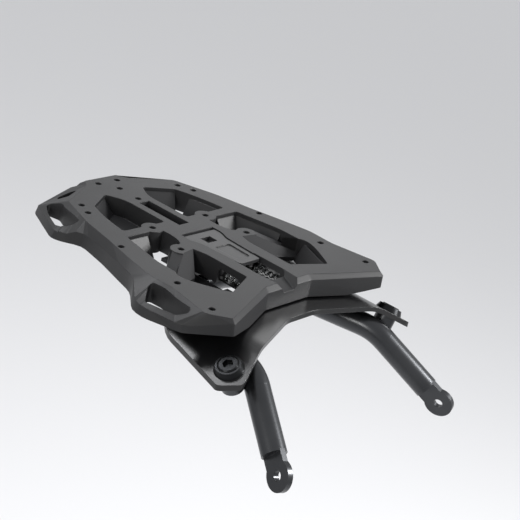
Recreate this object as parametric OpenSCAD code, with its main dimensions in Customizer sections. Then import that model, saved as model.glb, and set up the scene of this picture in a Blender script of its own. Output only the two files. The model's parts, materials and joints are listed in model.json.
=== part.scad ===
// Luggage rack plate for a top case, on its folded steel adapter and tube bow.
// X is across, +Y points to the rear, z = 0 is the flat top of the plate.
// The origin lies midway between the two front case holes.

/* [Plate] */
// Height of the plate's outer skirt
plate_h = 20; // [18:0.5:24]
// Thickness of the top deck
deck_t = 4; // [3:0.5:6]
// How far the wells' sloping walls come in at the foot
slope_w = 8; // [2:0.5:9]
// Thickness of the floors in the wells
floor_t = 3; // [2:0.5:4]
// Diameter of the case screw holes
case_hole_d = 6; // [5:0.5:7]
// Half the distance between the two front case holes
front_hole_x = 92.4; // [88:0.2:94]

/* [Wells] */
// Half width of the rear spine between the two rear wells
rear_spine_half = 14.1; // [12:0.5:17]
// Half width of the front spine that holds the lever
front_spine_half = 28; // [26:0.5:30]
// Radius of the lug round the rear rib's hole
rear_lug_r = 10; // [8:0.5:11]
// Radius of the lug round the front rib's hole
front_lug_r = 9.5; // [8:0.5:10.5]
// Width of the open slot along the rear spine
spine_slot_w = 12.4; // [9:0.5:15]
// Depth of the open slot along the rear spine
spine_slot_depth = 14; // [8:1:16]

/* [Lever] */
// Width of the lever at its front lip
lip_w = 25; // [21:0.5:27]
// Width of the lever at its hinge
lever_rear_w = 39; // [34:0.5:41]
// Clearance round the lever in its channel
lever_gap = 0.7; // [0.4:0.1:1.5]
// Height of the lever
lever_h = 8; // [6:0.5:9]
// Diameter of the lever's hinge pin
pin_d = 5; // [4:0.5:6]
// Running clearance on the pin's diameter
pin_gap = 0.1; // [0.06:0.02:0.2]
// Length of the arm that drives the lock slide
arm_len = 12; // [11.5:0.5:12.5]
// Thickness of the lock slide's steel
slide_t = 2.5; // [2:0.5:3]

/* [Adapter] */
// Thickness of the folded steel sheet
sheet_t = 4.5; // [3:0.5:6]
// Gap between the plate's skirt and the sheet
rest_gap = 1.5; // [1:0.1:3]
// Downward angle of the two wings
wing_angle = 27; // [20:1:32]
// Distance of each bend from the centre
bend_x = 77.2; // [75:0.2:80]
// Diameter of the wing screws
screw_d = 8; // [6:1:10]
// Diameter of the collar under each wing screw
collar_d = 25; // [22:1:28]
// Height of that collar
collar_h = 5; // [4:0.5:7]

/* [Bow] */
// Diameter of the bow's tube
tube_d = 21; // [18:0.5:22]
// Wall of the bow's tube
tube_wall = 2; // [1.5:0.5:3]
// Hole in each lug that bolts to the frame
lug_hole_d = 8.4; // [6.4:0.2:10.4]
// Length of each leg below its bend
leg_len = 66; // [50:2:90]

/* [Hidden] */
$fn = 48;
big = 400;

black = "#1d1f21";
plastic = "#4a4c4f";
steel = "#8a8d90";
rubber = "#151515";

// Corners of the right half of the plate, from the rear to the front.
// Each row: crease x y | rim x y z | foot x y | cut of the corner
plate_corners = [
    [19.5, 195.5, 20, 198, -2.5, 21, 199, 3],
    [25.7, 186.3, 31, 197, -4.6, 31.5, 198, 4],
    [66, 164.8, 77, 192, -13, 79, 192.8, 5],
    [69, 156.9, 99.5, 142, -13, 101.5, 143.5, 5],
    [75, 139.5, 97, 134, -12, 98.5, 134, 5],
    [80.9, 122.7, 87, 118, -8, 87.5, 118, 7],
    [88.9, 84.3, 94.4, 84, -7, 95, 84, 5],
    [96.8, 53.3, 103.7, 53.3, -6, 104.2, 53.3, 5],
    [103.6, 22, 109.8, 33, -5.6, 110, 33, 7],
    [103, 9, 127.5, 9.5, -12.8, 130, 10, 6],
    [102, -4, 129.7, -4, -12.4, 132, -4, 8],
    [110.5, -49.5, 123, -38, -12.8, 121.5, -39, 6],
    [96.5, -66.3, 97.4, -70.3, -3.3, 96.5, -71.5, 2],
    [27.6, -39.4, 28, -43.5, -4, 27.5, -43.8, 2]];

// Case holes: x and y of the right one of each pair, then those on the centre line
case_pairs = [[11.8, 185.4], [60.6, 153.1], [66.5, 137.9], [33.7, 89.9], [87.8, 72],
    [41.9, 46.1], [front_hole_x, 0], [100, -46.6]];
case_middle = [169, 143.8];
rear_lug = case_pairs[3];
front_lug = case_pairs[5];

// Outlines of the three wells on the right
well_rear = [[rear_spine_half, 145.6], [23.5, 163], [51.4, 146.6], [57.5, 128], [61, 113],
    [63.8, 95], [rear_spine_half, 94.5]];
well_mid = [[30, 84.5], [69.5, 84.5], [74.3, 60], [79, 37], [79, 27], [50, 48], [33, 55],
    [29.5, 64], [28.5, 76]];
well_front = [[31.6, 41.8], [45.1, 39.4], [81, 13.5], [82.3, 6], [79, -4], [71, -19],
    [62, -33.5], [front_spine_half, -18.8], [front_spine_half, 29.5]];
// Pockets moulded in from underneath on the right, with ribs left between them
hollows = [[[69, 99], [83, 99], [78.2, 122], [64.5, 122]],
    [[74.5, 84.5], [85.8, 84.5], [83.6, 95.5], [70.2, 95.5]],
    [[80.3, 57], [93.2, 57], [98.5, 33], [85.2, 33]],
    [[86, 30], [99.2, 30], [100.5, 20.5], [87.5, 20.5]],
    [[24, 172.5], [48, 158.4], [52.5, 163], [40, 174], [30, 179.5], [24, 180]],
    [[83, -9], [101, -9], [105.5, -31], [72.5, -31], [77, -21]],
    [[71, -34.5], [91, -34.5], [91, -60], [76, -54.5], [66, -48], [67, -41]]];
// Walls of the wells on the right, from rear to front, that slope in at the foot
well_slopes = [[[56.5, 132], [63.8, 94]], [[69.3, 85.5], [79.2, 36]], [[82.6, 11], [64.8, -29]]];
// Floors of the wells on the right, each beside the spine
well_floors = [[[10, 90], [34, 104], [37, 170], [10, 170]],
    [[25, 40], [42, 40], [42, 66], [25, 66]],
    [[20, -40], [62, -40], [48, -4], [20, -4]]];
// Hand slots in the three corners of the right half
slot_side = [[73.5, 160], [69.5, 168], [72.5, 180], [76, 181], [84, 169], [94, 147],
    [91, 137.5], [81, 131.5]];
slot_rear = [[62, 183.5], [56, 189], [42, 187.5], [38, 184.5], [53.5, 178]];
slot_front = [[125, 1.5], [111, 13.5], [107, 12.5], [106, 0], [111, -35], [115, -36],
    [119, -28], [122.5, -13.5]];

// Front rib: its ridge falls from the lug to the outer band
ridge_top = [45.1, 39.4, 0];
ridge_foot = [73.7, 19, -11.5];
ridge_side = [31.6, 41.8, 0];
lip_in = [47.6, 20.2];
lip_out = [55.4, 18.4];

// Lever and channel
pivot_y = 61;
pivot_z = -5.5;
lever_top = -0.8;
lever_front_y = 2.8;
lever_rear_y = 66;
channel_z = lever_top - lever_h - 1.2;
opening_half = 14.6;
opening_front_y = -23.5;
ramp_half = 11.1;
ramp_y = -27.3;
ramp_z = -4.2;
valley_half = 6.5;
valley_y = -43.7;
valley_z = -8.2;
slit_w = 2;

dish_depth = 0.9;
latch_window = [-8, 46, 12, 10];
latch_window_depth = 3.5;

// Lock slide and its cover
cover_t = 2;
cover_rear_y = 72;
slide_top = -14;
slide_bottom = slide_top - slide_t;
slide_gap = 0.3;
slide_half = 15;
cover_half = slide_half + 7;
slide_front_y = 8;
slide_rear_y = pivot_y + 7;
arm_half = 5;
arm_t = 4;
arm_play = [0.8, 1.8];
chamber_half = 24;
chamber_front_y = -20;
chamber_rear_y = 16;
window_front_y = -26;
window_rear_y = 39;
window_half = 30;
hook_w = 8;
hook_x = 9;
hook_leg_y = window_rear_y - 1.5;
hook_reach = 5;
hook_gap = 0.4;
hook_t = 2.5;
cover_top = slide_bottom - slide_gap;
latch_travel = 8;
ear_h = 6;
spring_x = 19.5;
spring_wire = 1;
spring_mean_r = 2.5;
spring_turns = 10;
cover_screw_at = [[slide_half + 3, 20], [slide_half + 3, 67]];
cover_screw_d = 4;
hook_base_half = 27;
hook_base_y = -40;
hook_base_w = 11;
hook_arm_w = 9.5;
hook_screw_at = [20, -34.5];
hook_screw_d = 5;

// Adapter
sheet_top = -plate_h - rest_gap;
sheet_foot = sheet_top - sheet_t;
wing_screw_at = [105.2, -79];
wing_drop = tan(wing_angle);
head_d = 16.6;
head_h = 4.5;
head_seat = 1.5;
socket_w = 8;
socket_depth = 3.2;
boss_d = 19;
boss_h = 17;
pad_r = 7.5;
pad_recess = 1;
pad_front = [44, -34.2];
sheet_half = [[60, 58], [70, 45], [77.2, 22], [84, 14], [105, -5.5], [121.2, -82.6],
    [119.4, -86.4], [111, -99], [107.5, -98.8], [77.2, -84.8], [18.6, -62]];
sheet_cut = [8, 6, 5, 5, 14, 2, 2, 3, 2, 6, 6];

// Bow
tube_r = tube_d / 2;
bow_rear_y = 48;
bow_corner = [47, bow_rear_y, -41];
bow_bend = [80.1, -85, -44.3];
leg_dir = [0.329, -0.757, -0.565];
bow_corner_r = 38;
bow_bend_r = 41;
bow_bore_r = tube_r - tube_wall;
bend_swell = 0.06;
bend_lap = 0.5;
lug_t = 5;
lug_w = 26;
lug_cap_t = 3;
lug_hole_at = 20;

// Vector helpers
function unit(v) = v / norm(v);
function flip(p) = [-p[0], p[1]];
function mirrored(half) = concat(half, [for (i = [len(half) - 1:-1:0]) flip(half[i])]);
function total(v) = v * [for (x = v) 1];
function area2(p) = total([for (i = [0:len(p) - 1])
    let (a = p[i], b = p[(i + 1) % len(p)]) a[0] * b[1] - a[1] * b[0]]);

// Rounds each corner of a closed path with a curve that starts cut[i] before the corner
function corner_curve(a, b, c, cut, steps) =
    let (d = min(cut, norm(a - b) * 0.45, norm(c - b) * 0.45),
        s = b + unit(a - b) * d, e = b + unit(c - b) * d)
    [for (k = [0:steps]) let (t = k / steps) s * (1 - t) ^ 2 + b * 2 * t * (1 - t) + e * t ^ 2];
function rounded(p, cut, steps = 2) = [for (i = [0:len(p) - 1])
    each corner_curve(p[(i + len(p) - 1) % len(p)], p[i], p[(i + 1) % len(p)], cut[i], steps)];
function same(v, n) = [for (i = [1:n]) v];

// Moves each point of a closed path inwards by d, or outwards where d is negative
function inset(p, d) =
    let (n = len(p), turn = area2(p) > 0 ? 1 : -1)
    [for (i = [0:n - 1])
        let (a = unit(p[i] - p[(i + n - 1) % n]), b = unit(p[(i + 1) % n] - p[i]),
            na = turn * [-a[1], a[0]], nb = turn * [-b[1], b[0]], m = unit(na + nb))
        p[i] + m * d / max(0.5, m * na)];

// Closed solid through mirrored rings that have the same number of points, from the top down.
// The foot is laid in strips from side to side up to the pair m, and in convex pieces from there.
module loft(rings, m) {
    n = len(rings[0]);
    last = len(rings) - 1;
    pts = [for (r = rings) each r];
    sides = [for (k = [0:last - 1]) for (i = [0:n - 1])
        let (j = (i + 1) % n, a = k * n + i, b = k * n + j, c = a + n, d = b + n)
        each [[a, c, b], [b, c, d]]];
    top = [for (i = [0:n - 1]) i];
    strips = [for (i = [0:m - 1]) [i, n - 1 - i, n - 2 - i, i + 1]];
    half = n / 2;
    lobes = [[for (i = [half - 2:-1:m]) i], [for (i = [n - 1 - m:-1:half + 1]) i],
        [half - 1, half - 2, m], [n - 1 - m, half + 1, half], [n - 1 - m, half, half - 1, m]];
    foot = [for (f = concat(strips, lobes)) f + last * n * [for (i = f) 1]];
    polyhedron(pts, concat([top], foot, sides), convexity = 10);
}

function column(i) = [for (c = plate_corners) c[i]];
function ring_xy(ix) = mirrored([for (c = plate_corners) [c[ix], c[ix + 1]]]);
function both(v) = concat(v, [for (i = [len(v) - 1:-1:0]) v[i]]);
corner_cut = both(column(7));
rim_z = [for (z = both(column(4))) each same(z, 3)];
crease_plain = ring_xy(0);
crease_ring = rounded(crease_plain, corner_cut * 0.6);
rim_ring = rounded(ring_xy(2), corner_cut);
foot_ring = rounded(ring_xy(5), corner_cut);

function at_z(ring, z) = [for (p = ring) [p[0], p[1], z]];
function at_zs(ring, zs) = [for (i = [0:len(ring) - 1]) [ring[i][0], ring[i][1], zs[i]]];

module sides() {
    children();
    mirror([1, 0, 0]) children();
}

module prism(outline, z0, z1) {
    translate([0, 0, z0]) linear_extrude(z1 - z0) polygon(outline);
}

// Everything above the plane through three points, as one large block
module above(a, b, c) {
    w = unit(cross(b - a, c - a));
    up = w[2] > 0 ? w : -w;
    u = unit(b - a);
    v = cross(up, u);
    multmatrix([[u[0], v[0], up[0], a[0]], [u[1], v[1], up[1], a[1]],
            [u[2], v[2], up[2], a[2]], [0, 0, 0, 1]])
        translate([-big / 2, -big / 2, 0]) cube(big);
}

module plate_shell() {
    loft([at_z(crease_ring, 0), at_zs(rim_ring, rim_z), at_z(foot_ring, -plate_h)], 32);
}

module sides2d() {
    children();
    mirror([1, 0]) children();
}

module hollow_plan() {
    sides2d() for (p = hollows) polygon(rounded(p, same(2, len(p))));
}

// Plan of the three wells on each side
module wells_plan() {
    sides2d() {
        difference() {
            union() {
                polygon(rounded(well_rear, [6, 3, 3, 8, 8, 3, 3]));
                polygon(rounded(well_mid, [3, 3, 8, 8, 4, 4, 4, 6, 4]));
            }
            translate(rear_lug) circle(r = rear_lug_r);
            translate(front_lug) circle(r = front_lug_r);
        }
        difference() {
            well_front_plan();
            ramp_plan();
        }
    }
}

// Plan of the floors that close the wells beside the spine
module floors_plan() {
    sides2d() for (f = well_floors) polygon(f);
}

// Sloped foot along one wall of a well, from a to b in plan, widening downwards
module wall_slope(a, b) {
    run = b - a;
    translate([a[0], a[1], 0]) rotate([90, 0, atan2(run[1], run[0]) - 90])
        translate([0, 0, -norm(run)]) linear_extrude(norm(run))
            polygon([[-1, -deck_t], [0, -deck_t], [slope_w, -plate_h],
                [slope_w, -plate_h - 2], [-1, -plate_h - 2]]);
}

// The wells, open to below except over their floors and sloping walls
module wells() difference() {
    union() {
        translate([0, 0, -plate_h + floor_t])
            linear_extrude(plate_h - floor_t + 1) wells_plan();
        translate([0, 0, -plate_h - 1]) linear_extrude(floor_t + 2) difference() {
            wells_plan();
            floors_plan();
        }
    }
    for (w = well_slopes) sides() wall_slope(w[0], w[1]);
}

// Plan of the hand slots and case holes
module holes_plan() {
    sides2d() {
        for (s = [slot_side, slot_rear, slot_front]) polygon(rounded(s, same(2.5, len(s)), 2));
        for (p = case_pairs) translate(p) circle(d = case_hole_d);
    }
    for (y = case_middle) translate([0, y]) circle(d = case_hole_d);
}

module well_front_plan() {
    polygon(rounded(well_front, [1, 1, 4, 4, 6, 8, 2, 2, 5]));
}

module ramp_plan() {
    polygon([[ridge_side[0] - 1, ridge_side[1] + 1], [ridge_top[0], ridge_top[1] + 1],
        [ridge_foot[0] + 12, ridge_foot[1] - 4], [ridge_foot[0] + 8, ridge_foot[1] - 9],
        lip_out, lip_in]);
}

// The front well over the ramp that falls from the front rib
module over_ramp() {
    sides() intersection() {
        translate([0, 0, -plate_h - 1]) linear_extrude(plate_h + 2) intersection() {
            well_front_plan();
            ramp_plan();
        }
        above(ridge_side, ridge_top, ridge_foot);
    }
}

// Takes the top off the front rib outside its lug, so that the rib falls outwards
module rib_fall() {
    across = cross(ridge_foot - ridge_top, [0, 0, 1]);
    sides() intersection() {
        translate([0, 0, -plate_h]) linear_extrude(plate_h + 1) difference() {
            polygon([[45.1, 39.3], [51, 49], [78.9, 30], [79, 15]]);
            translate(front_lug) circle(r = front_lug_r);
        }
        above(ridge_top, ridge_foot, ridge_top + across);
    }
}

module front_valley() {
    left = [[-ramp_half, ramp_y, ramp_z], [-valley_half, valley_y, valley_z],
        [-opening_half, opening_front_y, 0]];
    right = [for (p = left) [-p[0], p[1], p[2]]];
    intersection() {
        above(left[0], left[1], left[2]);
        above(right[0], right[1], right[2]);
        above(left[0], left[1], right[1]);
        translate([-60, -60, -plate_h]) cube([120, 60 + opening_front_y, plate_h + 1]);
    }
}

module lever_outline(grow) {
    polygon(rounded(lever_points(grow), [3, 2, 2, 5, 5, 2, 2, 3], 4));
}
function lever_points(grow) =
    let (r = lever_rear_w / 2 + grow, f = lip_w / 2 + grow, m = r - 4.5)
    [[-f, lever_front_y - grow], [f, lever_front_y - grow], [m, 46], [r, 56],
        [r, lever_rear_y + grow], [-r, lever_rear_y + grow], [-r, 56], [-m, 46]];

module lever_channel() {
    translate([0, 0, channel_z]) linear_extrude(-channel_z + 1) lever_outline(lever_gap);
    translate([-lever_rear_w / 2 - lever_gap, lever_rear_y - 4, channel_z])
        cube([lever_rear_w + 2 * lever_gap, slit_w + 4, -channel_z + 1]);
    finger = [[-opening_half, lever_front_y + 9], [opening_half, lever_front_y + 9],
        [opening_half, opening_front_y], [ramp_half, ramp_y], [-ramp_half, ramp_y],
        [-opening_half, opening_front_y]];
    prism(rounded(finger, [1, 1, 3, 2, 2, 3]), -plate_h - 1, 1);
}

// Chamber under the channel, with the arched windows into the two front wells
module lock_chamber() {
    foot = -plate_h - 1;
    translate([-chamber_half, chamber_front_y, foot])
        cube([2 * chamber_half, chamber_rear_y - chamber_front_y, plate_h - 5]);
    translate([-slide_half - 0.5, chamber_rear_y - 6, foot])
        cube([2 * slide_half + 1, cover_rear_y - chamber_rear_y + 4, slide_top + 0.4 - foot]);
    translate([-cover_half - 0.1, chamber_rear_y - 2.1, foot])
        cube([2 * cover_half + 0.2, cover_rear_y - chamber_rear_y + 2.2, cover_top - foot]);
    translate([-arm_half - 1, pivot_y - 12, foot]) cube([2 * arm_half + 2, 16, plate_h]);
    sides() {
        translate([0, 0, -6]) rotate([90, 0, 90]) linear_extrude(front_spine_half + 4)
            polygon(rounded([[13, 0], [-12, -0.8], [-14, -8], [-14, -plate_h], [13, -plate_h]],
                [4, 3, 2, 0.5, 0.5]));
        for (p = cover_screw_at) translate([p[0], p[1], cover_top - 1])
            cylinder(d = cover_screw_d, h = 7);
        translate([hook_screw_at[0], hook_screw_at[1], foot]) cylinder(d = hook_screw_d, h = 12);
    }
    translate([0, 0, foot]) linear_extrude(1 + hook_t + 0.02) hook_plan(0.1);
}

module corner_lift() {
    hinge = [63, -58, -plate_h];
    sides() translate(hinge) rotate([0, 0, 19]) rotate([-14.9, 0, 0])
        translate([-20, -60, -40]) cube([120, 60, 40]);
}

module rack_plate() color(plastic) difference() {
    plate_shell();
    translate([0, 0, -plate_h - 1]) linear_extrude(plate_h + 1 - deck_t) hollow_plan();
    translate([0, 0, -plate_h - 1]) linear_extrude(plate_h + 2) holes_plan();
    wells();
    over_ramp();
    rib_fall();
    front_valley();
    lever_channel();
    lock_chamber();
    translate([-spine_slot_w / 2, 84, -spine_slot_depth])
        cube([spine_slot_w, 52, spine_slot_depth + 1]);
    translate([-chamber_half - 1, pivot_y, pivot_z]) rotate([0, 90, 0])
        cylinder(d = pin_d, h = chamber_half + 40);
    for (p = [pad_front, front_lug]) sides()
        translate([p[0], p[1], -plate_h - 1]) cylinder(r = pad_r + 0.1, h = 1 + pad_recess);
    corner_lift();
}

module side_part(left) {
    mirror([left ? 1 : 0, 0, 0]) children();
}

// Screw with a countersunk head whose face is at z = 0 and whose shank points up
module flush_screw(d, len) {
    difference() {
        union() {
            cylinder(d1 = d * 1.9, d2 = d, h = d * 0.5);
            cylinder(d = d, h = len);
        }
        translate([0, 0, -1]) cylinder(d = d * 0.6, h = 1 + d * 0.35, $fn = 6);
    }
}
module flush_seat(d) {
    translate([0, 0, -1]) cylinder(d1 = d * 1.9 + 1.8, d2 = d, h = d * 0.5 + 1);
    cylinder(d = d, h = 20);
}

// Lever: a tapered paddle with a lip to lift, a window and the arm that drives the slide
module release_lever() color(plastic) difference() {
    union() {
        translate([0, 0, lever_top - lever_h]) linear_extrude(lever_h) lever_outline(0);
        translate([-arm_half, pivot_y - arm_t / 2, pivot_z - arm_len])
            cube([2 * arm_half, arm_t, arm_len]);
    }
    translate([-lever_rear_w, lever_front_y, lever_top - 3]) rotate([-14, 0, 0])
        translate([0, -2, -12]) cube([2 * lever_rear_w, 32, 12]);
    translate([latch_window[0], latch_window[1], lever_top - latch_window_depth])
        cube([latch_window[2], latch_window[3], latch_window_depth + 1]);
    translate([-8, 10, lever_top - dish_depth]) linear_extrude(dish_depth + 1)
        polygon(rounded([[0, 0], [16, 0], [17.5, 27], [-1.5, 27]], same(3, 4)));
    translate([-chamber_half, pivot_y, pivot_z]) rotate([0, 90, 0])
        cylinder(d = pin_d + pin_gap, h = 2 * chamber_half);
    translate([-lever_rear_w, lever_rear_y - 1.5, lever_top]) rotate([-30, 0, 0])
        cube([2 * lever_rear_w, 6, 4]);
    translate([-lever_rear_w, pivot_y, lever_top - lever_h]) rotate([90, 0, 90])
        linear_extrude(2 * lever_rear_w) polygon([[1.6, -1], [1.6, 0], [5.4, 3], [9, 3], [9, -1]]);
}

module lever_pin() color(steel)
    translate([-chamber_half - 1, pivot_y, pivot_z]) rotate([0, 90, 0])
        cylinder(d = pin_d, h = 2 * chamber_half + 2);

// Steel slide under the channel, with two hooks that grip the rear edge of the window
module lock_slide() color(steel) {
    toe_top = sheet_foot - hook_gap;
    difference() {
        translate([-slide_half, slide_front_y, slide_bottom])
            cube([2 * slide_half, slide_rear_y - slide_front_y, slide_t]);
        translate([-arm_half - 0.5, pivot_y - arm_t / 2 - arm_play[0], slide_bottom - 1])
            cube([2 * arm_half + 1, arm_t + arm_play[0] + arm_play[1], slide_t + 2]);
    }
    sides() {
        translate([hook_x - hook_w / 2, 0, 0]) rotate([90, 0, 90]) linear_extrude(hook_w)
            polygon([[hook_leg_y - 5, slide_top], [hook_leg_y, slide_top], [hook_leg_y, toe_top],
                [hook_leg_y + hook_reach, toe_top - 0.3], [hook_leg_y + hook_reach, toe_top - 2],
                [hook_leg_y - 1.5, toe_top - 3.6], [hook_leg_y - 5, toe_top - 3.6]]);
        translate([slide_half - 1, slide_front_y, slide_bottom])
            cube([chamber_half - slide_half, slide_t, ear_h]);
    }
}

// Compression spring between the slide's ear and the front of the chamber
module slide_spring(left) side_part(left) color(steel) {
    room = slide_front_y - chamber_front_y - spring_wire;
    pitch = room / spring_turns;
    for (k = [0:spring_turns - 1])
        translate([spring_x, slide_front_y - spring_wire / 2 - (k + 0.5) * pitch,
                slide_bottom + ear_h / 2])
            rotate([90 + (k % 2 == 0 ? 1 : -1) * atan(pitch / 2 / spring_mean_r), 0, 0])
                rotate_extrude() translate([spring_mean_r, 0]) circle(d = spring_wire, $fn = 24);
}

// Thin steel cover under the slide, with slots for the hooks and the arm
module slide_cover() color(black) difference() {
    arm_in = opening_half + 0.6;
    arm_front_y = chamber_front_y + 0.3;
    translate([0, 0, cover_top - cover_t]) linear_extrude(cover_t) difference() {
        polygon(mirrored([[cover_half, cover_rear_y], [cover_half, chamber_rear_y - 0.3],
            [chamber_half - 0.3, chamber_rear_y - 0.3], [chamber_half - 0.3, arm_front_y],
            [arm_in, arm_front_y], [arm_in, chamber_rear_y - 4]]));
        translate([-hook_x - hook_w / 2 - 1, hook_leg_y - 5 - latch_travel - 1])
            square([2 * hook_x + hook_w + 2, latch_travel + 7]);
        translate([-arm_half - 1, pivot_y - 12]) square([2 * arm_half + 2, 16]);
    }
    sides() for (p = cover_screw_at) translate([p[0], p[1], cover_top - cover_t])
        flush_seat(cover_screw_d);
}

module cover_screws() color(steel)
    sides() for (p = cover_screw_at) translate([p[0], p[1], cover_top - cover_t])
        flush_screw(cover_screw_d, cover_t + 5);

// Plan of the front hook's flange, grown by g for its seat in the plate
module hook_plan(g) {
    translate([-hook_base_half - g, hook_base_y - g])
        square([2 * (hook_base_half + g), hook_base_w + 2 * g]);
    sides2d() translate([hook_base_half - hook_arm_w - g, hook_base_y + 10])
        square([hook_arm_w + 2 * g, 8 + g]);
}

// Fixed steel hook that grips the front edge of the adapter's window
module front_hook() color(steel) difference() {
    union() {
        translate([0, 0, -plate_h]) linear_extrude(hook_t) hook_plan(0);
        sides() translate([hook_base_half - hook_arm_w, 0, 0]) rotate([90, 0, 90])
            linear_extrude(hook_arm_w)
            polygon([[-22, -plate_h + 1], [window_front_y + 1, -plate_h + 1],
                [window_front_y + 1, sheet_foot - hook_gap],
                [window_front_y - hook_reach, sheet_foot - hook_gap - 0.3],
                [window_front_y - hook_reach, sheet_foot - hook_gap - 2],
                [-23.5, sheet_foot - hook_gap - 3], [-22, sheet_foot - hook_gap - 2]]);
    }
    sides() translate([hook_screw_at[0], hook_screw_at[1], -plate_h]) flush_seat(hook_screw_d);
}

module hook_screws() color(steel)
    sides() translate([hook_screw_at[0], hook_screw_at[1], -plate_h])
        flush_screw(hook_screw_d, 10);

// Rubber ring between the plate and the adapter
module rest_pad(p, left) side_part(left) color(rubber)
    translate([p[0], p[1], sheet_top]) difference() {
        cylinder(r = pad_r, h = rest_gap + pad_recess);
        translate([0, 0, -1]) cylinder(d = case_hole_d + 2, h = rest_gap + pad_recess + 2);
    }

// Moves its child to the right wing's screw, with z along the wing's normal
module on_wing() {
    translate([wing_screw_at[0], wing_screw_at[1],
            sheet_top - (wing_screw_at[0] - bend_x) * wing_drop])
        rotate([0, wing_angle, 0]) children();
}

// Folded sheet: its bend profile kept inside its plan outline
module adapter_plate() color(black) difference() {
    tip = 125;
    tip_z = sheet_top - (tip - bend_x) * wing_drop;
    under = bend_x - sheet_t * tan(wing_angle / 2);
    half = [[-bend_x, sheet_top], [-tip, tip_z],
        [-tip + sheet_t * sin(wing_angle), tip_z - sheet_t * cos(wing_angle)],
        [-under, sheet_foot]];
    profile = concat(half, [for (i = [3:-1:0]) flip(half[i])]);
    intersection() {
        translate([0, 80, 0]) rotate([90, 0, 0]) linear_extrude(200)
            polygon(rounded(profile, [10, 0.1, 0.1, 8, 8, 0.1, 0.1, 10], 6));
        translate([0, 0, -90]) linear_extrude(90) difference() {
            polygon(rounded(mirrored(sheet_half), both(sheet_cut), 4));
            polygon(rounded([[-window_half, window_front_y], [window_half, window_front_y],
                [window_half, window_rear_y], [-window_half, window_rear_y]], same(5, 4), 4));
            sides2d() translate(front_lug) circle(d = case_hole_d + 3);
        }
    }
    sides() on_wing() translate([0, 0, -30]) cylinder(d = screw_d + 0.6, h = 60);
}

module wing_collar(left) side_part(left) color(black) on_wing() difference() {
    cylinder(d1 = collar_d, d2 = collar_d - 4, h = collar_h);
    translate([0, 0, head_seat]) cylinder(d = head_d + 0.8, h = collar_h);
    translate([0, 0, -1]) cylinder(d = screw_d + 0.4, h = collar_h);
}

module wing_screw(left) side_part(left) color(steel) on_wing() difference() {
    union() {
        translate([0, 0, -sheet_t - boss_h + 3]) cylinder(d = screw_d, h = sheet_t + boss_h);
        translate([0, 0, head_seat]) cylinder(d = head_d, h = head_h - 1);
        translate([0, 0, head_seat + head_h - 1]) cylinder(d1 = head_d, d2 = head_d - 2, h = 1);
    }
    translate([0, 0, head_seat + head_h - socket_depth])
        cylinder(d = socket_w / cos(30), h = socket_depth + 1, $fn = 6);
}

// Threaded boss between a wing and the bow's side, shaped to the tube
module tube_boss(left) side_part(left) color(black) difference() {
    on_wing() translate([0, 0, -sheet_t - boss_h]) difference() {
        cylinder(d = boss_d, h = boss_h);
        translate([0, 0, 2]) cylinder(d = screw_d, h = boss_h);
    }
    tube_bend(bow_corner, bow_bend, bow_end, bow_bend_r, 0, 12);
}

// Tube between two points, and a tube bend from a towards c round the corner b
module straight(a, b, r) {
    d = b - a;
    translate(a) rotate([0, acos(d[2] / norm(d)), atan2(d[1], d[0])]) tube_run(norm(d), r);
}
module tube_run(len, r) linear_extrude(len) tube_section(r, 0);
module tube_section(r, swell) difference() {
    circle(tube_r + swell);
    if (r > 0) circle(r - swell);
}
function bend_angle(a, b, c) = acos(unit(b - a) * unit(c - b));
function bend_run(a, b, c, r) = r * tan(bend_angle(a, b, c) / 2);
function bend_start(a, b, c, r) = b - unit(b - a) * bend_run(a, b, c, r);
function bend_end(a, b, c, r) = b + unit(c - b) * bend_run(a, b, c, r);
module tube_bend(a, b, c, r, bore, lead = bend_lap) {
    u = unit(b - a);
    s = bend_start(a, b, c, r);
    hub = b + unit(unit(c - b) - u) * r / cos(bend_angle(a, b, c) / 2);
    x = unit(s - hub);
    w = cross(x, u);
    multmatrix([[x[0], u[0], w[0], hub[0]], [x[1], u[1], w[1], hub[1]],
            [x[2], u[2], w[2], hub[2]], [0, 0, 0, 1]])
        rotate([0, 0, -lead]) rotate_extrude(angle = bend_angle(a, b, c) + lead + bend_lap)
            translate([r, 0]) tube_section(bore, bend_swell);
}

bow_middle = [0, bow_rear_y, bow_corner[2]];
bow_end = bow_bend + unit(leg_dir) * leg_len;
module bow_side(bore) {
    straight(bend_end(bow_middle, bow_corner, bow_bend, bow_corner_r),
        bend_start(bow_corner, bow_bend, bow_end, bow_bend_r), bore);
    tube_bend(bow_corner, bow_bend, bow_end, bow_bend_r, bore);
    straight(bend_end(bow_corner, bow_bend, bow_end, bow_bend_r), bow_end, bore);
}

module support_bow() color(black) {
    reach = bend_start(bow_middle, bow_corner, bow_bend, bow_corner_r);
    straight(flip3(reach), reach, bow_bore_r);
    sides() {
        tube_bend(bow_middle, bow_corner, bow_bend, bow_corner_r, bow_bore_r);
        bow_side(bow_bore_r);
    }
}
function flip3(p) = [-p[0], p[1], p[2]];

// Cap and flat tongue at the end of a leg, with the hole for the frame bolt
module bow_lug(left) side_part(left) color(black) {
    w = unit(leg_dir);
    v = unit([1, 0, 0] - w * w[0]);
    u = cross(v, w);
    multmatrix([[u[0], v[0], w[0], bow_end[0]], [u[1], v[1], w[1], bow_end[1]],
            [u[2], v[2], w[2], bow_end[2]], [0, 0, 0, 1]]) difference() {
        union() {
            cylinder(d = tube_d, h = lug_cap_t);
            translate([0, lug_t / 2, 0]) rotate([90, 0, 0]) linear_extrude(lug_t) {
                translate([0, lug_hole_at]) circle(d = lug_w);
                translate([-tube_r, lug_cap_t / 2]) square([tube_d, lug_hole_at - lug_cap_t / 2]);
            }
        }
        translate([0, lug_t, lug_hole_at]) rotate([90, 0, 0])
            cylinder(d = lug_hole_d, h = 2 * lug_t);
    }
}

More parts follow.
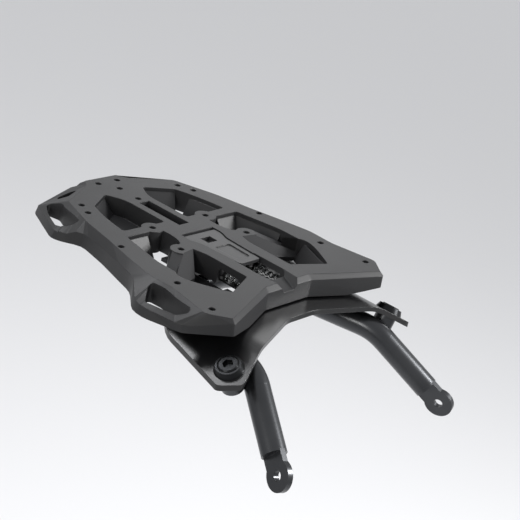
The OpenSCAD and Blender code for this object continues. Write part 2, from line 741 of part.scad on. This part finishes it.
rack_plate();
release_lever();
lever_pin();
lock_slide();
slide_spring(true);  // slide_spring_left
slide_spring(false);  // slide_spring_right
slide_cover();
cover_screws();
front_hook();
hook_screws();
rest_pad(pad_front, true);  // rest_pad_front_left
rest_pad(pad_front, false);  // rest_pad_front_right
rest_pad(front_lug, true);  // rest_pad_rear_left
rest_pad(front_lug, false);  // rest_pad_rear_right
adapter_plate();
wing_screw(true);  // wing_screw_left
wing_screw(false);  // wing_screw_right
wing_collar(true);  // wing_collar_left
wing_collar(false);  // wing_collar_right
tube_boss(true);  // tube_boss_left
tube_boss(false);  // tube_boss_right
support_bow();
bow_lug(true);  // bow_lug_left
bow_lug(false);  // bow_lug_right
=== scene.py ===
import json
import math

import bmesh
import bpy
from mathutils import Matrix, Vector

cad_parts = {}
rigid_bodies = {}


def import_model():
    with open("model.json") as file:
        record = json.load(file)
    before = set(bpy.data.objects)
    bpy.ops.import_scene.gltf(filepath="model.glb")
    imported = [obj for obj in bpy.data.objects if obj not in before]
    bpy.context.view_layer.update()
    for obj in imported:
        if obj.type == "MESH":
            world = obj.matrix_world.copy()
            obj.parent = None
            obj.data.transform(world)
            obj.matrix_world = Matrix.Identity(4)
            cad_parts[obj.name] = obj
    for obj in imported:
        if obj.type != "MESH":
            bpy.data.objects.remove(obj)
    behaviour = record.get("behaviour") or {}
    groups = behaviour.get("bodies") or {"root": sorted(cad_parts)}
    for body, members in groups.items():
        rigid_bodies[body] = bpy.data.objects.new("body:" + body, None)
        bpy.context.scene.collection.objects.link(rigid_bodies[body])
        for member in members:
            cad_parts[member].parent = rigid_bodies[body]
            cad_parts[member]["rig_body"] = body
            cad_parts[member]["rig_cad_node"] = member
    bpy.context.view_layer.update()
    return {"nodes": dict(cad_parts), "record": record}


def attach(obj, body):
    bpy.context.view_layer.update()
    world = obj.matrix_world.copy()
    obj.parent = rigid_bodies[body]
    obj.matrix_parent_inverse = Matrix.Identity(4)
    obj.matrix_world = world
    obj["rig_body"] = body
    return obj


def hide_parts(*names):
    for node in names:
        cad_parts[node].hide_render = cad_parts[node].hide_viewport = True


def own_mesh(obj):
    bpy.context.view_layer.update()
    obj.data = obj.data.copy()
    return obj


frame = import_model()
nodes = frame["nodes"]

millimetre = 0.001

# Camera fitted to the photo, in metres and degrees.
camera = {
    "place": (-0.8528, -0.6524, 0.4655),
    "azimuth": -52.882,
    "elevation": 23.315,
    "roll": 11.954,
    "lens": 94.9,
    "sensor": 36.0,
    "farthest": 20.0,
}

# Soft studio: key lamp behind on the right, small lamp overhead, front lamp on the right, near fill.
studio = {
    "floorHeight": -0.9,
    "floorSize": 14.0,
    "floorColour": "#e4e4e5",
    "worldColour": "#e2e3e5",
    "worldStrength": 0.95,
    "lamps": [
        {
            "name": "keyLamp", "at": (1.25, 1.0, 0.8), "aim": (0.0, 0.02, 0.0),
            "size": 0.7, "power": 2.0, "colour": "#ffffff",
        },
        {
            "name": "topLamp", "at": (-0.25, 0.75, 1.0), "aim": (0.0, 0.05, 0.0),
            "size": 0.3, "power": 6.5, "colour": "#fbfcff",
        },
        {
            "name": "frontLamp", "at": (0.85, -0.95, 0.6), "aim": (0.0, 0.0, 0.0),
            "size": 0.35, "power": 30.0, "colour": "#ffffff",
        },
        {
            "name": "nearLamp", "at": (-1.2, -0.1, 0.35), "aim": (0.0, 0.0, -0.03),
            "size": 0.3, "power": 4.0, "colour": "#fffdf8",
        },
    ],
}


# Linear RGBA of a hex sRGB colour.
def linear(colour):
    parts = [int(colour[i : i + 2], 16) / 255 for i in (1, 3, 5)]
    return [c / 12.92 if c <= 0.04045 else ((c + 0.055) / 1.055) ** 2.4 for c in parts] + [1.0]


# Adds one shader node. links maps an input name or number to (node, output).
def addNode(tree, kind, settings=None, links=None, place=(0, 0)):
    node = tree.nodes.new(kind)
    node.location = place
    for name, value in (settings or {}).items():
        if name in node.inputs:
            node.inputs[name].default_value = value
        else:
            setattr(node, name, value)
    for name, (source, output) in (links or {}).items():
        tree.links.new(source.outputs[output], node.inputs[name])
    return node


# Node material with all its nodes cleared, returned with its node tree.
def newMaterial(name):
    material = bpy.data.materials.new(name)
    material.use_nodes = True
    tree = material.node_tree
    tree.nodes.clear()
    return material, tree


# Procedural surface: a base colour, wide mottling, fine grain bump and rounded edges.
def surface(name, look):
    material, tree = newMaterial(name)
    coords = addNode(tree, "ShaderNodeTexCoord", place=(-1100, 0))
    # Wide mottling in tone, a few centimetres across.
    mottle = addNode(
        tree,
        "ShaderNodeTexNoise",
        {"Scale": 1.0 / millimetre / look["mottleSize"], "Detail": 3.0, "Roughness": 0.5},
        {"Vector": (coords, "Object")},
        (-880, 200),
    )
    # Grain of the mould, powder or grind, in tenths of a millimetre.
    grain = addNode(
        tree,
        "ShaderNodeTexNoise",
        {"Scale": 1.0 / millimetre / look["grainSize"], "Detail": 2.0, "Roughness": 0.6},
        {"Vector": (coords, "Object")},
        (-880, -100),
    )
    tone = addNode(
        tree,
        "ShaderNodeMix",
        {"data_type": "RGBA"},
        {0: (mottle, "Fac")},
        (-640, 200),
    )
    tone.inputs[6].default_value = linear(look["dark"])
    tone.inputs[7].default_value = linear(look["light"])
    rough = addNode(
        tree,
        "ShaderNodeMapRange",
        {
            "To Min": look["roughness"] - look["roughnessSpread"],
            "To Max": look["roughness"] + look["roughnessSpread"],
        },
        {"Value": (grain, "Fac")},
        (-640, -60),
    )
    # Edge radius of the mould, fold or cut, shown by turning the normals near an edge.
    edge = addNode(
        tree,
        "ShaderNodeBevel",
        {"samples": 6, "Radius": look["edgeRadius"] * millimetre},
        place=(-880, -400),
    )
    bump = addNode(
        tree,
        "ShaderNodeBump",
        {"Strength": look["grainStrength"], "Distance": look["grainHeight"] * millimetre},
        {"Height": (grain, "Fac"), "Normal": (edge, "Normal")},
        (-640, -300),
    )
    shader = addNode(
        tree,
        "ShaderNodeBsdfPrincipled",
        {"Metallic": look["metallic"], "IOR": 1.5, "Specular IOR Level": look["gloss"]},
        {"Base Color": (tone, 2), "Roughness": (rough, "Result"), "Normal": (bump, "Normal")},
        (-360, 0),
    )
    if look.get("coat"):
        shader.inputs["Coat Weight"].default_value = look["coat"]
        shader.inputs["Coat Roughness"].default_value = look["coatRoughness"]
    addNode(tree, "ShaderNodeOutputMaterial", links={"Surface": (shader, "BSDF")}, place=(0, 0))
    return material


# Grain sizes and heights are in millimetres.
looks = {
    # Glass filled nylon from an eroded mould: fine even grain, neutral black.
    "nylonMouldedGrain": {
        "dark": "#1e1e1f", "light": "#2b2b2c", "mottleSize": 60.0, "grainSize": 0.45,
        "grainStrength": 0.55, "grainHeight": 0.06, "roughness": 0.43, "roughnessSpread": 0.07,
        "edgeRadius": 0.9, "gloss": 0.28, "metallic": 0.0,
    },
    # The same nylon in a smoother tool for the lever.
    "nylonLeverSatin": {
        "dark": "#202021", "light": "#2c2c2d", "mottleSize": 40.0, "grainSize": 0.4,
        "grainStrength": 0.35, "grainHeight": 0.04, "roughness": 0.36, "roughnessSpread": 0.05,
        "edgeRadius": 0.6, "gloss": 0.35, "metallic": 0.0,
    },
    # Laser cut steel, folded, then powder coated: slight orange peel and soft sheen.
    "steelPowderCoated": {
        "dark": "#060607", "light": "#0b0b0c", "mottleSize": 25.0, "grainSize": 1.2,
        "grainStrength": 0.25, "grainHeight": 0.05, "roughness": 0.3, "roughnessSpread": 0.05,
        "edgeRadius": 0.6, "gloss": 0.5, "metallic": 0.0, "coat": 0.3, "coatRoughness": 0.25,
    },
    # Steel tube with a burnished dark finish, drawn and polished round its length.
    "steelTubeBurnished": {
        "dark": "#3a3b3d", "light": "#4a4b4d", "mottleSize": 30.0, "grainSize": 2.0,
        "grainStrength": 0.12, "grainHeight": 0.03, "roughness": 0.3, "roughnessSpread": 0.05,
        "edgeRadius": 0.3, "gloss": 0.5, "metallic": 0.9,
    },
    # Turned and forged screws and collars with a black oxide finish.
    "steelBlackOxide": {
        "dark": "#151617", "light": "#222325", "mottleSize": 8.0, "grainSize": 0.3,
        "grainStrength": 0.2, "grainHeight": 0.02, "roughness": 0.28, "roughnessSpread": 0.07,
        "edgeRadius": 0.3, "gloss": 0.5, "metallic": 0.8,
    },
    # Zinc plated steel for the hidden lock parts.
    "steelZincPlated": {
        "dark": "#4c4d4e", "light": "#5c5d5c", "mottleSize": 6.0, "grainSize": 0.5,
        "grainStrength": 0.05, "grainHeight": 0.02, "roughness": 0.33, "roughnessSpread": 0.06,
        "edgeRadius": 0.1, "gloss": 0.5, "metallic": 0.9,
    },
    # Moulded rubber rings.
    "rubberMoulded": {
        "dark": "#0d0d0e", "light": "#141414", "mottleSize": 10.0, "grainSize": 0.6,
        "grainStrength": 0.3, "grainHeight": 0.04, "roughness": 0.75, "roughnessSpread": 0.05,
        "edgeRadius": 0.3, "gloss": 0.5, "metallic": 0.0,
    },
}
materials = {name: surface(name, look) for name, look in looks.items()}

slotLooks = {
    "moulded": "nylonMouldedGrain",
    "lever_moulded": "nylonLeverSatin",
    "black_sheet": "steelPowderCoated",
    "black_tube": "steelTubeBurnished",
    "dark_screw": "steelBlackOxide",
    "zinc_steel": "steelZincPlated",
    "pad_rubber": "rubberMoulded",
}
nodeSlots = {s["node"]: s["material_slot"] for s in frame["record"]["subparts"]}
for name, piece in nodes.items():
    piece.data.materials.clear()
    piece.data.materials.append(materials[slotLooks[nodeSlots[name]]])
print("materials", len(materials))


# Merged copy of a CAD mesh, smooth over its arcs and crisp along its creases.
def merged(source, name, settings):
    mesh = source.data.copy()
    copy = bpy.data.objects.new(name, mesh)
    bpy.context.scene.collection.objects.link(copy)
    work = bmesh.new()
    work.from_mesh(mesh)
    bmesh.ops.remove_doubles(work, verts=work.verts, dist=mergeGap)
    for face in work.faces:
        face.smooth = True
    for edge in work.edges:
        turn = math.degrees(abs(edge.calc_face_angle(math.pi)))
        longCrease = turn > settings["crease"] and edge.calc_length() > settings["creaseLength"]
        edge.smooth = not (turn > settings["sharp"] or longCrease)
    work.to_mesh(mesh)
    work.free()
    mesh.update()
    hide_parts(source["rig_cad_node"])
    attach(copy, source["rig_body"])
    return copy


mergeGap = 1e-6
# Angles in degrees and lengths in metres. A long edge counts as a crease at a smaller angle.
flatSided = {"sharp": 14, "crease": 2, "creaseLength": 0.024}
turned = {"sharp": 30, "crease": 180, "creaseLength": 1.0}
copied = {
    "rack_plate": flatSided,
    "release_lever": flatSided,
    "adapter_plate": turned,
    "support_bow": turned,
}
for stem in ("tube_boss", "wing_collar", "wing_screw", "bow_lug"):
    for side in ("left", "right"):
        copied[stem + "_" + side] = turned
for name, settings in copied.items():
    made = merged(nodes[name], name + "Shown", settings)
    print("merged", name, len(made.data.polygons))


# Sloped ends of the wells, in millimetres on the right half: wall from a to b, seen from within.
wellEnds = [
    {"name": "rearWellEnd", "a": (24.0, 162.6), "b": (51.3, 146.6), "width": 13.0},
    {"name": "middleWellEnd", "a": (44.2, 84.4), "b": (69.4, 84.4), "width": 12.0},
]
endTop = -3.0
endFoot = -19.9
for end in wellEnds:
    for side, sign in (("Left", -1), ("Right", 1)):
        a, b = Vector(end["a"]), Vector(end["b"])
        run = (b - a).normalized()
        inward = Vector((run.y, -run.x)) * end["width"]
        corners = []
        for point in (a, b):
            foot = point + inward
            corners.append((sign * point.x, point.y, endTop))
            corners.append((sign * foot.x, foot.y, endFoot))
            corners.append((sign * point.x, point.y, endFoot))
        faces = [(0, 1, 2), (3, 5, 4), (0, 3, 4, 1), (1, 4, 5, 2), (2, 5, 3, 0)]
        mesh = bpy.data.meshes.new(end["name"] + side)
        mesh.from_pydata([[c * millimetre for c in corner] for corner in corners], [], faces)
        work = bmesh.new()
        work.from_mesh(mesh)
        bmesh.ops.recalc_face_normals(work, faces=work.faces)
        work.to_mesh(mesh)
        work.free()
        mesh.materials.append(materials["nylonMouldedGrain"])
        wedge = bpy.data.objects.new(end["name"] + side, mesh)
        bpy.context.scene.collection.objects.link(wedge)
        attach(wedge, nodes["rack_plate"]["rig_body"])
print("well ends", 2 * len(wellEnds))


# The return springs run from the slide's ear to the chamber's front; each is shown as a merged copy
# with a mesh of its own.
for side, sign in (("left", -1), ("right", 1)):
    name = "slide_spring_" + side
    made = merged(nodes[name], name + "Shown", turned)
    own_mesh(made)


# Pale floor, pale surroundings and soft lamps.
def addStage():
    bpy.ops.mesh.primitive_plane_add(size=studio["floorSize"], location=(0, 0, studio["floorHeight"]))
    floor = bpy.context.active_object
    floor.name = "studioFloor"
    material, tree = newMaterial("paperSweep")
    paper = {"Base Color": linear(studio["floorColour"]), "Roughness": 0.9}
    shader = addNode(tree, "ShaderNodeBsdfPrincipled", paper)
    addNode(tree, "ShaderNodeOutputMaterial", links={"Surface": (shader, "BSDF")}, place=(300, 0))
    floor.data.materials.append(material)
    world = bpy.data.worlds.new("studioWorld")
    bpy.context.scene.world = world
    world.use_nodes = True
    background = world.node_tree.nodes["Background"]
    background.inputs[0].default_value = linear(studio["worldColour"])
    background.inputs[1].default_value = studio["worldStrength"]
    for lamp in studio["lamps"]:
        light = bpy.data.lights.new(lamp["name"], "AREA")
        light.shape = "SQUARE"
        light.size = lamp["size"]
        light.energy = lamp["power"]
        light.color = linear(lamp["colour"])[:3]
        holder = bpy.data.objects.new(lamp["name"], light)
        bpy.context.scene.collection.objects.link(holder)
        holder.location = lamp["at"]
        aim = Vector(lamp["aim"]) - Vector(lamp["at"])
        holder.rotation_euler = aim.to_track_quat("-Z", "Y").to_euler()


# Camera at the photo's angle.
def addCamera():
    azimuth, elevation, roll = (math.radians(camera[k]) for k in ("azimuth", "elevation", "roll"))
    level = Vector((math.cos(azimuth), math.sin(azimuth), 0))
    ahead = Vector((-math.sin(azimuth), math.cos(azimuth), 0))
    forward = math.cos(elevation) * ahead - math.sin(elevation) * Vector((0, 0, 1))
    upright = level.cross(forward)
    right = math.cos(roll) * level + math.sin(roll) * upright
    up = right.cross(forward)
    turn = Matrix((right, up, -forward)).transposed()
    data = bpy.data.cameras.new("photoCamera")
    data.lens = camera["lens"]
    data.sensor_width = camera["sensor"]
    data.clip_end = camera["farthest"]
    holder = bpy.data.objects.new("photoCamera", data)
    bpy.context.scene.collection.objects.link(holder)
    holder.matrix_world = Matrix.Translation(Vector(camera["place"])) @ turn.to_4x4()
    bpy.context.scene.camera = holder


addStage()
addCamera()
scene = bpy.context.scene
scene.view_settings.view_transform = "Standard"
print("stage and camera")
